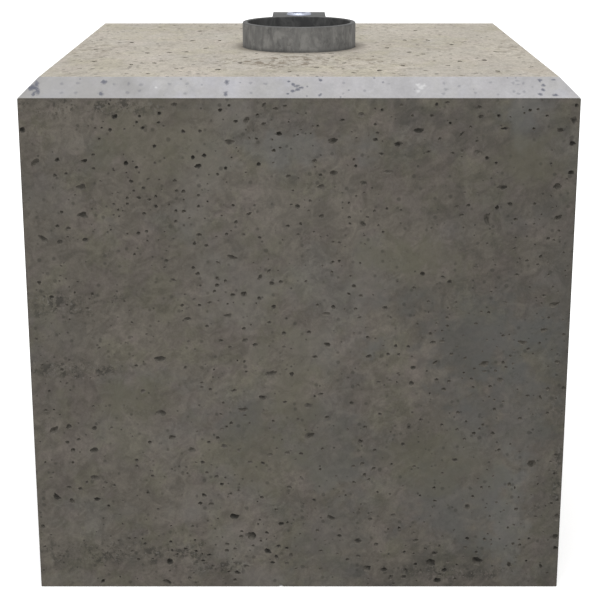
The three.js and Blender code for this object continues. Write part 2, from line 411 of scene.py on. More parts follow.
# holes seen on the front: across from the middle, up, width, height, and where it isn't 0 the slant
# in degrees and the bend
frontHoles = [
    (-235, 475, 12, 7, 12, 0.5), (205, 440, 17, 7, 85, -0.9), (-155, 280, 14, 7, 8, 0.4),
    (-235, 444, 12, 7, -8, -0.4), (-277, 195, 13, 8, 35, 0.5), (206, 32.5, 13, 11.5, -25, 0.25),
    (-155, 215, 13, 7, -15, -0.5), (-75, 525, 10, 6, 0, 0.2), (-233, 137, 11, 7, -6, 0.3),
    (-31, 263, 14, 7, 15, 0.5), (-277, 113, 12, 7, -38, 0.5), (152, 31, 11, 12.5, 50, 0.2),
    (36, 526, 11, 7, 20, 0.2), (-232, 170, 11, 7, 8, -0.3), (264, 153.5, 10, 9.5, 0, 0.1),
    (-56, 548, 6, 9, -35, 0.1), (-74, 89, 11, 7.5, -10, 0.2), (220, 475, 13, 6, 4, 0.3),
    (128.5, 537, 12, 6, 0, 0.2), (-61, 355, 7, 7, 20, 0.1), (-150, 32, 8, 8, -30, 0.2),
    (-63, 219.5, 12, 5.5, 6, 0.3), (-231, 504, 8, 5, 15, 0.3), (-54.5, 64.5, 10, 10.5, 0, 0.2),
    (-279, 418, 14, 6, -40, 0.2), (-260, 505, 6, 5, 40, 0.4), (-108.5, 498.5, 7.5, 6, 10, 0.1),
    (281, 441, 11, 7, 30, 0.3), (282, 343, 12, 6, 12, 0.4), (248, 299, 10.5, 5.5, -3, 0.2),
    (206.5, 274, 11, 7.5, 15, 0.3), (12, 188, 11, 7, 25, 0.3), (-41, 234, 9, 6, 0, 0.2),
    (37, 87, 10.5, 6, -25, 0.3), (-73, 397, 11, 5.5, -20, 0.3), (-123, 326, 10, 4.5, 0, -0.3),
    (106.5, 522, 9.5, 6.5, 10, 0.2), (78.5, 23.5, 11, 7.5, 0, 0.2), (-36, 45, 10.5, 6, -40, 0.2),
    # the right arris, from the foot up
    (296, 49, 6, 5.5), (295, 63, 7.5, 7.5), (296, 88, 6.5, 9.5), (296, 108.5, 4, 3.5),
    (291.5, 141.5, 6, 4.5), (291.5, 164.5, 6, 4.5), (296.5, 245, 5, 6), (288, 276, 6, 5), (294, 308, 5, 4),
    (293, 491, 8, 6), (279, 476, 9.5, 8), (293, 523, 7.5, 6), (279, 537, 8.5, 6.5), (295.5, 564, 6, 5),
    # right of the middle, at the foot
    (157, 42.5, 8, 6, 15), (205, 44, 4.5, 4), (160, 8, 10, 7), (168.5, 21, 7, 6), (163, 15.5, 6, 3.5, -10),
    (141, 20, 3.5, 6), (135, 28.5, 5, 4.5), (117.5, 177.5, 5.5, 4.5), (154, 124, 4.5, 4),
    (208.5, 125, 4, 3.5), (247, 54.5, 4.5, 4), (255, 53, 4, 3.5), (146, 48, 4, 4), (192, 50, 5, 4),
    (194, 61, 5, 5), (214, 60, 4.5, 4.5), (265, 61, 4, 4), (243.5, 28, 5, 8, 30), (181, 10, 4, 4),
    (121.5, 12.5, 7.5, 5), (106.5, 12, 7.5, 5, 60), (98.5, 21.5, 8.5, 6), (249, 98, 5, 4.5),
    (56, 34.5, 6, 4.5), (68.5, 38.5, 6, 4), (109.5, 4, 4.5, 3), (89, 53.5, 6, 5),
    (46.5, 64.5, 6.5, 4.5, -20), (21, 71, 4, 4), (25, 45.5, 4.5, 3, 20), (17.5, 109, 5.5, 4, -20),
    (82, 85.5, 5.5, 4),
    # right of the middle, above them
    (84.5, 147.5, 8, 4, 45), (74.5, 140, 5, 6), (79.5, 134.5, 4, 3.5), (62.5, 131, 5.5, 4),
    (72, 154, 6, 4.5, 15), (62, 151, 5, 3.5), (24, 147, 4, 3.5), (26.5, 172, 4, 4), (2.5, 166, 6, 4),
    (85.5, 170, 5.5, 4, 30), (69.5, 181, 7, 5.5), (74.5, 198.5, 5.5, 4), (124, 198, 5, 4.5),
    (219, 191, 5, 5), (220, 220, 4.5, 4.5), (91, 214, 4.5, 4), (31.5, 210, 6, 4, 20), (59, 227, 6, 5),
    (24.5, 238, 7, 4, 15), (226.5, 170.5, 5, 4), (249, 208.5, 5.5, 4.5), (207.5, 201, 4, 4),
    (179, 216, 5, 4), (178.5, 195.5, 4.5, 4), (187, 184, 4.5, 3.5), (161, 201, 4.5, 4), (137, 207, 4.5, 4),
    (256.5, 236, 5, 3.5), (271, 234, 6.5, 3.5, -65), (279, 244, 6, 4.5), (214, 247, 4.5, 4),
    (195, 246, 4.5, 3.5), (192.5, 256, 4.5, 3.5), (162, 243.5, 6, 4.5), (167.5, 253, 5, 4),
    (154, 255, 5.5, 4), (207, 265, 6, 3), (231, 270, 4, 3.5), (219.5, 265.5, 4, 3.5), (127.5, 269, 7, 5),
    (152, 275.5, 8, 4, 45), (78, 282.5, 8, 5, 10), (99, 285, 4.5, 4), (121.5, 294, 4.5, 4),
    (107.5, 294.5, 4, 5), (169.5, 285, 5, 3.5), (235.5, 283, 3.5, 3.5), (17.5, 282, 7, 4),
    (31.5, 296.5, 8, 6), (226.5, 307, 4, 3.5), (271, 313, 7.5, 5), (11, 311, 5.5, 4.5), (164.5, 318, 4, 4),
    (67, 328, 5, 3, 15), (95, 339, 7, 4), (62.5, 338, 5, 3, 15), (142.5, 346.5, 4, 3, -15),
    (68, 353, 5, 3.5, -15), (55, 355, 5, 3.5, -15), (126.5, 362, 4, 3.5), (60.5, 364, 5.5, 4.5),
    (158, 374.5, 5.5, 3.5, -20), (239, 377, 6.5, 3.5), (261.5, 388.5, 4.5, 3.5), (249.5, 393, 5, 3.5, 20),
    (36, 380, 4, 3, -20), (37, 391.5, 4, 3.5), (44, 392.5, 4.5, 4), (37, 414, 4, 3), (44, 413.5, 4, 3),
    (271.5, 418, 5, 4),
    # right of the middle, near the top
    (235, 439.5, 5, 4), (24, 443, 6.5, 5), (176, 444, 5.5, 4, 10), (171, 453.5, 5, 3.5, 15),
    (183.5, 455, 5, 4), (23.5, 476, 8, 5), (37.5, 490.5, 9, 6), (16.5, 504, 6, 4, 20),
    (59, 505.5, 3.5, 3.5), (202, 507, 5, 5), (271, 501, 3.5, 3.5), (139, 514, 6, 3, 20),
    (165, 512.5, 4, 3.5), (82, 527, 6.5, 4.5), (84, 534.5, 4.5, 3.5), (150.5, 528, 4, 4),
    (190.5, 525.5, 3.5, 3.5), (174.5, 533.5, 8, 3.5, 45), (220, 539, 10, 4), (183.5, 541, 3.5, 3.5),
    (161.5, 545, 4, 4), (20, 542, 4, 3.5), (46, 548, 6.5, 4, 25), (81.5, 543.5, 4, 3.5), (88.5, 559, 4, 4),
    (141.5, 553, 5, 4), (121, 553, 3.5, 3.5), (194, 552, 5.5, 5), (213, 553, 4.5, 4.5),
    (192, 562, 6.5, 5.5), (146.5, 565, 4.5, 4.5), (158, 567, 6, 3.5), (246, 559, 4.5, 4),
    (254.5, 560, 4, 3), (264.5, 553, 4, 3.5),
    # left of the middle, at the foot
    (-24, 51.5, 6.5, 4.5), (-14, 49, 5.5, 4), (-26, 38, 6.5, 5, -60), (-30.5, 30.5, 6, 4),
    (-14.5, 29.5, 6, 3.5), (-53, 52, 4, 3.5), (-44, 58, 3.5, 3), (-37, 68.5, 6, 4, -25),
    (-66.5, 63.5, 6, 4), (-66, 70, 4, 3), (-20.5, 79.5, 7, 5.5), (-47, 79, 3.5, 3.5), (-45, 84.5, 3.5, 3),
    (-26, 97.5, 5, 3.5, -15), (-42.5, 112.5, 5.5, 4, -25), (-83, 54, 6, 4.5), (-83.5, 46, 5.5, 4),
    (-74, 48, 4, 3.5), (-104, 40.5, 6, 4), (-111, 33, 6, 3.5, -15), (-119, 45, 4.5, 4), (-99.5, 26, 4, 3.5),
    (-71.5, 18, 8, 4.5, -20), (-81.5, 19, 4, 3.5), (-122.5, 76.5, 4, 3.5), (-108.5, 115, 7, 5, -20),
    (-113, 105, 6, 4.5), (-100.5, 104, 7, 4.5), (-260, 108, 7, 6.5, -30), (-231, 110, 8, 6),
    (-218, 102, 4, 4), (-294.5, 76, 6, 6), (-173, 118, 4, 4), (-167, 139, 4.5, 4), (-228, 7, 5, 7, -35),
    (-153, 6.5, 12, 5.5, -30), (-131, 48, 6, 4), (-141, 41, 4.5, 3.5), (-127, 11, 5, 4),
    (-196, 61, 6, 3.5, -25), (-148, 57, 4, 4), (-11, 125, 6, 4, -10),
    # left of the middle, above them
    (-144, 186, 8, 6), (-260, 199, 7, 6, 40), (-231, 197, 7.5, 5.5), (-249.5, 183.5, 5, 4),
    (-184.5, 158, 5, 4), (-184.5, 151, 4.5, 3.5), (-262.5, 125, 6, 4), (-250, 123, 5.5, 4),
    (-169, 180, 5, 4.5), (-262, 180, 5.5, 4.5), (-105, 143, 4.5, 3.5), (-78, 117, 4, 3.5),
    (-109.5, 155.5, 5.5, 4.5), (-41, 154.5, 5, 4.5), (-102, 180, 5, 4), (-92, 185.5, 5, 4.5),
    (-76.5, 203, 5.5, 4.5), (-56, 203, 3.5, 3.5), (-61, 212.5, 4, 3), (-29, 205.5, 4, 3.5),
    (-16, 228.5, 6, 3.5, 10), (-85, 227.5, 4, 3.5), (-73, 242, 7, 4, 20), (-99.5, 243.5, 4.5, 3.5),
    (-109, 246, 4, 3), (-109, 251.5, 4, 3), (-59, 264.5, 3.5, 3), (-61, 276.5, 3.5, 3.5),
    (-49, 296, 6, 5.5), (-77, 293.5, 4, 3), (-86.5, 301, 6, 4), (-33, 322, 4.5, 3.5), (-61, 315, 4.5, 4),
    (-102, 318, 4.5, 4), (-79, 330, 9, 5), (-110, 342, 4.5, 4), (-129, 342, 4.5, 4), (-28, 340, 6, 5.5),
    (-44, 350, 5.5, 5), (-73, 354, 5.5, 4.5), (-90, 365, 5.5, 4.5), (-90, 373, 4.5, 4), (-81, 370, 4, 4),
    (-43, 374, 4.5, 8, -35), (-33, 381, 4, 6, -30), (-30, 367, 6, 5), (-20, 369, 4.5, 4.5),
    (-138, 371, 7, 3.5, -20), (-116, 385, 4.5, 4.5), (-111, 378, 5.5, 4.5), (-12, 432, 5.5, 3.5),
    (-43, 419, 4.5, 4), (-79, 423, 4, 4), (-109, 422, 6.5, 4.5), (-101, 410, 5, 4), (-114, 412, 4.5, 4.5),
    # left of the middle, near the top
    (-261, 414, 6.5, 6), (-233, 416.5, 7.5, 5.5), (-263, 432, 5.5, 4), (-251, 429.5, 5.5, 4),
    (-175, 424, 5, 4.5), (-166, 426, 4, 4), (-134, 437, 4.5, 4.5), (-125, 448.5, 5, 4.5), (-109, 454, 4, 4),
    (-155, 454, 4.5, 4.5), (-168, 446, 5, 4.5), (-186, 456.5, 4, 4), (-186, 463, 4, 4), (-168, 474, 5, 4.5),
    (-125, 470.5, 5, 4.5), (-132.5, 471, 4.5, 4), (-134, 482, 5, 4.5), (-109, 466, 4, 4), (-155, 465, 4, 4),
    (-133.5, 449, 4, 4), (-263, 488, 4.5, 4.5), (-251, 490, 4, 4), (-284, 502, 12, 7, 35),
    (-175, 497, 4.5, 4), (-79, 496, 4.5, 4.5), (-102, 510, 6, 5), (-114, 508, 6, 5.5),
    (-221, 510.5, 4.5, 4), (-155, 520, 4.5, 4.5), (-124, 536, 5, 4.5), (-106, 536.5, 4, 4),
    (-202, 537.5, 4.5, 4.5), (-167, 540, 5, 4.5), (-150, 545.5, 4.5, 3.5), (-173.5, 546, 4, 3.5),
    (-170, 552.5, 4, 3.5), (-196.5, 552, 7, 5.5, 20), (-149, 555.5, 5, 4.5), (-133, 565, 7, 5),
    (-295.5, 537.5, 6.5, 7), (-11.5, 487, 6, 4.5, 15), (-43.5, 500.5, 5.5, 4.5, 20), (-27, 515.5, 5, 4),
    (-45.5, 528, 4, 3.5), (-21.5, 533.5, 7, 5.5), (-38, 544, 5.5, 4.5, 20), (-67.5, 547, 6, 4),
    (-44.5, 554, 4, 3.5), (-25, 560.5, 6.5, 4.5), (-15, 563.5, 5, 3.5), (-37.5, 564.5, 6.5, 4, 50),
    (-74.5, 564, 4, 3.5), (-84, 559, 5, 4.5),
]
# fainter, shallow ones there: across, up, width, height
faintHoles = [
    (293, 548, 8, 9), (30, 332, 10, 5.5), (10.5, 224, 9, 7), (192, 513, 7, 7), (66.5, 554, 7.5, 6),
    (96, 492, 11, 4.5), (69.5, 479.5, 8, 5.5), (193.5, 385.5, 5.5, 3), (159, 300, 7, 4), (225, 255, 8, 6),
    (193, 101, 7, 7), (108, 90, 7.5, 5), (67.5, 58, 9, 8), (89, 252, 5, 4.5), (101.5, 254, 6, 3),
    (66.5, 248, 4, 5), (-60.5, 301, 8, 6), (-122, 170.5, 9, 7), (-17, 293.5, 4.5, 3.5), (-85, 175, 8, 6),
    (-68.5, 170, 4, 5.5), (-33, 164.5, 6, 4), (-13, 167, 6.5, 5), (-56, 155.5, 7, 4.5), (-94, 138, 6.5, 5),
    (-61.5, 26, 7.5, 5), (-87, 196, 4.5, 3.5),
]
# holes seen on the top: across, back, width, length
topHoles = [
    (216, -142, 7, 14), (219, -237, 7, 12), (186, -151, 6, 12), (89, -229, 7, 13), (52, -166, 6, 11),
    (167, 63, 6, 13), (137, 63, 6, 12), (134, -65, 7, 12), (193, 14, 6, 13), (110, -21, 6, 12),
    (-90, -223, 7, 13), (-137, -62, 6, 12), (-166, -166, 6, 12), (-191, -181, 5, 11), (-138, 58, 6, 13),
    (-237, -151, 6, 12), (-68, -166, 7, 12), (-183, -73, 6, 12), (-103, 60, 5, 12), (-136, 171, 6, 14),
    (20, -205, 6, 12), (-30, -140, 5, 11), (118, -190, 5, 11), (60, -250, 6, 10), (-10, -240, 5, 10),
    (-215, 40, 6, 12), (240, -60, 6, 13), (160, 180, 6, 14),
]
# where holes crowd on the front: across, up, reach across, reach up
frontCrowds = [
    (170, 32, 110, 42), (170, 28, 60, 30), (255, 110, 45, 90), (-70, 350, 70, 45), (-255, 350, 60, 24),
    (-255, 265, 60, 20), (170, 290, 90, 60), (-180, 35, 130, 30), (-180, 470, 90, 60), (270, 400, 35, 150),
    (-60, 60, 80, 50), (-20, 535, 60, 25),
]

# a small chip out of the arris at the foot of the front, in millimetres
chipped = {"across": -21, "up": 0.6, "wide": 5.5, "tall": 5.0, "seed": 5.5}

lumpMesh = bpy.data.meshes.new("lump")


def addHole(bm, across, up, width, height, slant=0, bend=0, seed=0, sunk=0.05, wall=0.72,
            finer=airHoles["finerOver"], deeper=1.0, inside=holeInside):
    # one lump to cut out, in a face's own millimetres: x across, y up, z outwards
    smooth = 3 if max(width, height) > finer else 2
    lump = bmesh.new()
    bmesh.ops.create_icosphere(lump, subdivisions=smooth, radius=0.5)
    deep = min(width, height) * airHoles["deep"] * deeper
    for vert in lump.verts:
        ripple = noise.noise(vert.co * 2.6 + Vector((seed, seed * 0.37, -seed * 0.71)))
        # the wall slopes, so that a hole's edge is soft
        high = min(abs(vert.co.z) * 2, 0.98)
        narrower = (1 - high) ** wall / (1 - high ** 2) ** 0.5
        vert.co.x *= narrower
        vert.co.y *= narrower
        vert.co *= 1 + airHoles["ragged"] * ripple * 2
        vert.co.y += bend * (vert.co.x ** 2 - 0.1) * width / height
    where = (Matrix.Translation((across, up, -sunk * deep)) @ Matrix.Rotation(radians(slant), 4, "Z")
             @ Matrix.Diagonal((width, height, deep, 1)))
    bmesh.ops.transform(lump, matrix=where, verts=lump.verts)
    for face in lump.faces:
        face.material_index = inside
    # each lump is made on its own and then added, which is much faster than making it in place
    lump.to_mesh(lumpMesh)
    lump.free()
    bm.from_mesh(lumpMesh)


def randomHole(rng, larger=1.0):
    across = min(airHoles["narrowest"] + rng.expovariate(1 / airHoles["moreAcross"]), airHoles["widest"])
    across *= larger
    longer = 1 + airHoles["longer"] * rng.random() ** 2
    width, height = across * longer ** 0.5, across / longer ** 0.5
    if rng.random() < airHoles["upright"]:
        width, height = height, width
    slant, bend = airHoles["slant"], airHoles["bend"]
    return width, height, rng.uniform(-slant, slant), rng.uniform(-bend, bend)


def crowding(across, up, seed, crowds):
    # how readily a hole settles here
    patch = noise.noise(Vector((across / airHoles["patch"], up / airHoles["patch"], seed)))
    fine = noise.noise(Vector((across / airHoles["finePatch"], up / airHoles["finePatch"], seed + 7)))
    readily = airHoles["readily"] + airHoles["inPatch"] * patch + airHoles["inFinePatch"] * fine
    for x, y, wide, tall in crowds:
        readily += airHoles["inCrowd"] * max(0, 1 - ((across - x) / wide) ** 2 - ((up - y) / tall) ** 2)
    return readily


def scatterHoles(bm, rng, amount, halfAcross, halfUp, keepOff, taken, crowds, larger=1.0,
                 finer=airHoles["finerOver"]):
    # taken: (across, up, radius) of what is there already
    cell = airHoles["cell"] * larger
    grid = {}

    def remember(spot):
        grid.setdefault((round(spot[0] / cell), round(spot[1] / cell)), []).append(spot)

    def free(across, up, reach):
        column, row = round(across / cell), round(up / cell)
        near = [spot for i in (-1, 0, 1) for j in (-1, 0, 1) for spot in grid.get((column + i, row + j), [])]
        return all((across - x) ** 2 + (up - y) ** 2 > (reach + r + airHoles["gap"]) ** 2 for x, y, r in near)

    for spot in taken:
        remember(spot)
    patches = rng.uniform(0, 50)
    made = tries = 0
    while made < amount and tries < amount * airHoles["triesEach"]:
        tries += 1
        width, height, slant, bend = randomHole(rng, larger)
        reach = airHoles["reach"] * max(width, height)
        edge = reach + airHoles["margin"]
        across = rng.uniform(edge - halfAcross, halfAcross - edge)
        up = rng.uniform(edge - halfUp, halfUp - edge)
        if rng.random() > crowding(across, up, patches, crowds) or keepOff(across, up, reach):
            continue
        if not free(across, up, reach):
            continue
        wall = rng.uniform(airHoles["steep"], airHoles["gentle"])
        seed, sunk = rng.uniform(0, 90), rng.uniform(-0.08, 0.15)
        addHole(bm, across, up, width, height, slant, bend, seed, sunk, wall, finer)
        remember((across, up, reach))
        made += 1


def faceMatrix(turn, origin, up):
    # millimetres in a face's own frame to metres in the object's, for the side at that quarter turn
    right, up = Vector((1, 0, 0)), Vector(up)
    axes = Matrix((right, up, right.cross(up))).transposed().to_4x4()
    return (Matrix.Rotation(turn * pi / 2, 4, "Z") @ Matrix.Translation(origin) @ axes
            @ Matrix.Scale(mm, 4))


def holeCutter(name, bm, matrix):
    bmesh.ops.transform(bm, matrix=matrix, verts=bm.verts)
    return newPiece(name, bm, [])


def makeHoleCutters():
    rng = Random(airHoles["seed"])
    half = blockHigh.x / mm
    sideTop = (blockHigh.z - concrete["chamfer"]) / mm
    flat = half - concrete["chamfer"] / mm
    cutters = []
    for turn in range(4):
        bm = bmesh.new()
        taken, crowds = [], []
        amount, finer = airHoles["otherSides"], airHoles["finerHidden"]
        if turn == 0:
            amount, finer = airHoles["frontSide"], airHoles["finerOver"]
            chip = chipped["across"], chipped["up"] - sideTop / 2, chipped["wide"], chipped["tall"]
            addHole(bm, *chip, seed=chipped["seed"], inside=freshChip)
            placed = [(hole, 1.0) for hole in frontHoles]
            placed += [(hole, airHoles["faintDeep"]) for hole in faintHoles]
            for seed, ((across, up, *shape), deeper) in enumerate(placed):
                addHole(bm, across, up - sideTop / 2, *shape, seed=seed * 3.7, deeper=deeper)
                taken.append((across, up - sideTop / 2, airHoles["clear"] * max(shape[:2])))
            crowds = [(x, y - sideTop / 2, wide, tall) for x, y, wide, tall in frontCrowds]
        scatterHoles(bm, rng, amount, half, sideTop / 2, lambda *spot: False, taken, crowds, 1.0, finer)
        matrix = faceMatrix(turn, (0, -blockHigh.x, sideTop / 2 * mm), (0, 0, 1))
        cutters.append(holeCutter(f"side_holes_{turn}", bm, matrix))

    def onSteel(across, up, reach):
        fromTube = (across ** 2 + up ** 2) ** 0.5 - tubeHigh.x / mm
        besidePad = max(abs(across), abs(up - padMiddle.y / mm)) - padHigh.x / mm
        return min(fromTube, besidePad) < reach + airHoles["beside"]

    bm = bmesh.new()
    for seed, hole in enumerate(topHoles):
        addHole(bm, *hole, slant=rng.uniform(-airHoles["slants"], airHoles["slants"]), seed=seed * 2.3)
    taken = [(across, back, airHoles["clear"] * long) for across, back, wide, long in topHoles]
    scatterHoles(bm, rng, airHoles["top"], flat, flat, onSteel, taken, [], airHoles["topLarger"])
    cutters.append(holeCutter("top_holes", bm, faceMatrix(0, (0, 0, blockHigh.z), (0, 1, 0))))
    return cutters


def makeBlock(materials):
    block = newPiece("concrete_body", makeBlockBody(), materials)
    cutFrom(block, [socketCutter(), padCutter()] + makeHoleCutters())
    for face in block.data.polygons:
        face.use_smooth = face.material_index == holeInside
    standFor(block, "concrete_block")
    triangles = sum(len(face.vertices) - 2 for face in block.data.polygons)
    print("concrete block:", len(block.data.polygons), "faces,", triangles, "triangles")


# Concrete finishes

formedFinish = {
    "plain": colour(0.195, 0.175, 0.146),
    "olive": colour(0.184, 0.174, 0.127),
    "pink": colour(0.208, 0.178, 0.160),
    "cool": colour(0.160, 0.162, 0.154),
    "shade": colour(0.058, 0.058, 0.054),
    "smudge": colour(0.060, 0.057, 0.049),
    "pale": colour(0.300, 0.284, 0.258),
    "bluePale": colour(0.268, 0.274, 0.268),
    "pinholeShade": colour(0.068, 0.064, 0.055),
    "patch": 22 * mm,        # across the clouds of tint
    "oliveShare": 0.48,
    "pinkShare": 0.5,
    "coolShare": 0.30,
    "mottle": (0.84, 1.15),
    "blotch": (0.885, 1.115),
    "speck": (0.90, 1.10),
    "fleckShare": 0.72,
    "chalkShare": 0.4,
    "faint": (8, 3.2, 1.6, 0.48),    # spacing, widest and blur in millimetres, and share
    "pins": (8, 1.7, 0.7, 0.65),
    "arrisShadeShare": 0.35,
    "roughness": (0.72, 0.92),
    "bump": (0.5 * mm, 0.7, 0.5),    # depth, strength, and the grain's part of it
}

# bands and clouds of dark flecks on the front: across, up, reach across, reach up, in millimetres
smudges = [
    (-262, 348, 85, 15), (-255, 267, 75, 14), (-205, 42, 130, 19), (165, 18, 90, 14), (-262, 562, 60, 14),
    (-190, 563, 60, 11), (293, 130, 9, 60), (-255, 335, 60, 9), (-90, 25, 70, 10),
]
# paler, darker and tinted clouds on the front: tint, across, up, reach across, reach up, how strong
clouds = [
    ("shade", 285, 300, 290, 900, 0.20), ("shade", 196, 290, 85, 70, 0.24),
    ("shade", 160, 352, 90, 55, 0.10), ("shade", 205, 440, 60, 55, 0.10), ("shade", 130, 545, 34, 34, 0.16),
    ("shade", 168, 22, 95, 44, 0.30), ("shade", -262, 40, 80, 24, 0.16), ("shade", 285, 360, 40, 190, 0.16),
    ("shade", 288, 110, 26, 160, 0.20), ("shade", -66, 205, 34, 30, 0.14),
    ("shade", -160, 376, 140, 30, 0.09), ("shade", -290, 300, 60, 400, 0.14),
    ("shade", 0, 10, 330, 30, 0.08), ("shade", 0, 560, 330, 24, 0.06), ("shade", 250, 545, 130, 60, 0.14),
    ("pale", -72, 350, 62, 46, 0.26), ("pale", -109, 462, 34, 74, 0.28), ("pale", 80, 375, 30, 66, 0.24),
    ("pale", 10, 293, 60, 30, 0.22), ("pale", -112, 98, 38, 30, 0.24), ("pale", -76, 52, 38, 34, 0.30),
    ("pale", -46, 14, 34, 30, 0.30), ("pale", -190, 184, 100, 66, 0.10), ("pale", -256, 306, 50, 44, 0.12),
    ("pale", -70, 552, 28, 54, 0.24), ("pale", -262, 464, 40, 36, 0.16), ("pale", 34, 135, 40, 22, 0.20),
    ("pale", -20, 420, 150, 200, 0.08), ("pale", -262, 9, 50, 13, 0.18), ("bluePale", 2, 514, 92, 26, 0.24),
    ("bluePale", 241, 78, 30, 104, 0.30), ("bluePale", 240, 558, 34, 40, 0.34),
    ("cool", 33, 165, 58, 60, 0.30), ("cool", 177, 100, 80, 60, 0.45), ("cool", 40, 64, 60, 60, 0.25),
    ("cool", 235, 230, 60, 110, 0.40), ("cool", 190, 300, 110, 80, 0.40), ("cool", -66, 208, 40, 40, 0.40),
    ("olive", -156, 521, 90, 58, 0.40), ("olive", -192, 231, 54, 32, 0.60),
    ("olive", 120, 398, 76, 34, 0.55), ("olive", 247, 503, 54, 38, 0.50), ("olive", -46, 158, 74, 60, 0.40),
    ("olive", -12, 252, 44, 96, 0.40), ("olive", 159, 152, 76, 50, 0.40),
]


# the tints in cement: name, how large for the finish's patch, detail, shift, start and end in the cloud
cementTints = [
    ("olive", 1.0, 5, (0, 0, 0), 0.48, 0.60),
    ("pink", 0.7, 5, (7.3, 2.2, 5.9), 0.48, 0.62),
    ("cool", 1.8, 4, (3.1, 1.7, 2.3), 0.50, 0.66),
]
cementGrain = 1.6 * mm
swirlLean = 38
aside = (5.3, 2.9, 4.1)      # moves a pattern, so that two of them don't coincide


def cementColour(tree, place, groups, look):
    # cloudy cement colour as a mould or a float leaves it, before pinholes
    patch = look["patch"]
    base = look["plain"]
    for tint, larger, detail, shift, start, end in cementTints:
        spread = cloud(tree, stretched(tree, place, shift=shift), patch * larger, detail, 0.65)
        base = lay(tree, base, look[tint], ramp(tree, spread, start, end, 0.0, look[tint + "Share"]))
    # soft swirls that lean up to the right, broad blotches, and grain
    swirl = cloud(tree, slanting(tree, place, swirlLean, 1.3), patch * 0.36, 5, 0.62, 1.4)
    light = ramp(tree, swirl, 0.34, 0.66, *look["mottle"])
    broad = ramp(tree, cloud(tree, place, patch * 1.6, 3), 0.3, 0.7, *look["blotch"])
    grain = useGroup(tree, groups["grain"], Place=place, Size=cementGrain)["Grain"]
    light = times(tree, times(tree, light, broad), ramp(tree, grain, 0.32, 0.68, *look["speck"]))
    lit = addNode(tree, "CombineColor", {"Red": light, "Green": light, "Blue": light})
    return blend(tree, 1.0, base, lit.outputs["Color"], "MULTIPLY"), grain


def addPinholes(tree, groups, place, base, over, spacing, widest, blur, share):
    mask = useGroup(tree, groups["pinholes"], Place=place, Spacing=spacing * mm, Widest=widest * mm,
                    Blur=blur * mm)["Mask"]
    return lay(tree, base, over, mask, share), mask


stainDepth = 30              # how far a stain on a flat face reaches in, in millimetres


def stain(tree, groups, place, edge, centre, reach):
    # the mask of one stain, with its centre in metres and its reach in millimetres
    reach = [size * mm for size in reach]
    return useGroup(tree, groups["spot"], Place=place, Centre=centre, Reach=reach, Rough=edge)["Mask"]


def frontStain(tree, groups, place, edge, across, up, wide, tall):
    return stain(tree, groups, place, edge, (across * mm, blockLow.y, up * mm),
                 (wide, stainDepth, tall))


def setConcrete(tree, sockets, place, base, grain, pin, look):
    bump, strength, grainPart = look["bump"]
    roughness = ramp(tree, cloud(tree, place, 20 * mm), 0.3, 0.7, *look["roughness"])
    height = maths(tree, "SUBTRACT", times(tree, grain, grainPart), pin)
    setFinish(tree, sockets, base, height, bump, strength, roughness)


def makeFormed(groups):
    look = formedFinish
    made, tree, sockets, place = makeMaterial("formed concrete", Specular_IOR_Level=0.3)
    base, grain = cementColour(tree, place, groups, look)
    edge = raggedness(tree, place, 12 * mm, 2.4)
    for tint, across, up, wide, tall, share in clouds:
        spot = frontStain(tree, groups, place, edge, across, up, wide, tall)
        base = lay(tree, base, look[tint], spot, share)
    # small flecks and larger ones, a few of them everywhere and the rest in the smudges
    small = ramp(tree, cloud(tree, place, 1.8 * mm, 4, 0.7), 0.50, 0.60)
    large = ramp(tree, cloud(tree, place, 4 * mm, 5, 0.7), 0.51, 0.58)
    flecks = maths(tree, "MAXIMUM", times(tree, small, 0.5), large)
    edge = raggedness(tree, place, 9 * mm, 2.2)
    dirty = ramp(tree, cloud(tree, place, 18 * mm, 3), 0.50, 0.70, 0.08, 0.4)
    for smudge in smudges:
        dirty = maths(tree, "MAXIMUM", dirty, frontStain(tree, groups, place, edge, *smudge))
    base = lay(tree, base, look["smudge"], times(tree, dirty, flecks), look["fleckShare"])
    # pale flecks lie beside the dark ones
    chalky = cloud(tree, stretched(tree, place, shift=(9.7, 6.1, 1.9)), 2.2 * mm, 3, 0.6)
    chalky = ramp(tree, chalky, 0.58, 0.68, 0.0, look["chalkShare"])
    base = lay(tree, base, look["pale"], times(tree, chalky, dirty))
    # faint blurred spots, where an air hole is just under the skin, and open pinholes, painted dark for the
    # shade inside them
    shifted = stretched(tree, place, shift=aside)
    base = addPinholes(tree, groups, shifted, base, look["smudge"], *look["faint"])[0]
    base, pin = addPinholes(tree, groups, place, base, look["pinholeShade"], *look["pins"])
    # painted shade: a dark line along the arrises, where the eased edges turn away from the light
    away = useGroup(tree, groups["arrises"], Place=place)["Away"]
    base = lay(tree, base, look["smudge"], ramp(tree, away, 1.6 * mm, 0.4 * mm, 0.0, look["arrisShadeShare"]))
    setConcrete(tree, sockets, place, base, grain, pin, look)
    return made


floatedFinish = {
    "plain": colour(0.498, 0.459, 0.394),
    "olive": colour(0.483, 0.445, 0.352),
    "pink": colour(0.522, 0.468, 0.412),
    "cool": colour(0.483, 0.458, 0.418),
    "smudge": colour(0.190, 0.165, 0.135),
    "brown": colour(0.236, 0.200, 0.156),
    "pinholeShade": colour(0.115, 0.105, 0.092),
    "patch": 26 * mm,
    "stretch": (0.85, 0.55, 1),      # the float's streaks run front to back
    "oliveShare": 0.7,
    "pinkShare": 0.5,
    "coolShare": 0.4,
    "mottle": (0.93, 1.05),
    "blotch": (0.95, 1.05),
    "speck": (0.80, 1.11),
    "dustShare": 0.25,
    "streaksAnywhere": 0.06,
    "faint": (9.5, 3.6, 1.4, 0.62),
    "pins": (10, 2.7, 0.25, 0.8),
    "footShadeWide": 20 * mm,             # the painted shade round the tube's foot, where its contact shadow falls
    "footShadeShare": 0.6,
    "roughness": (0.75, 0.95),
    "bump": (0.5 * mm, 0.8, 0.6),
}

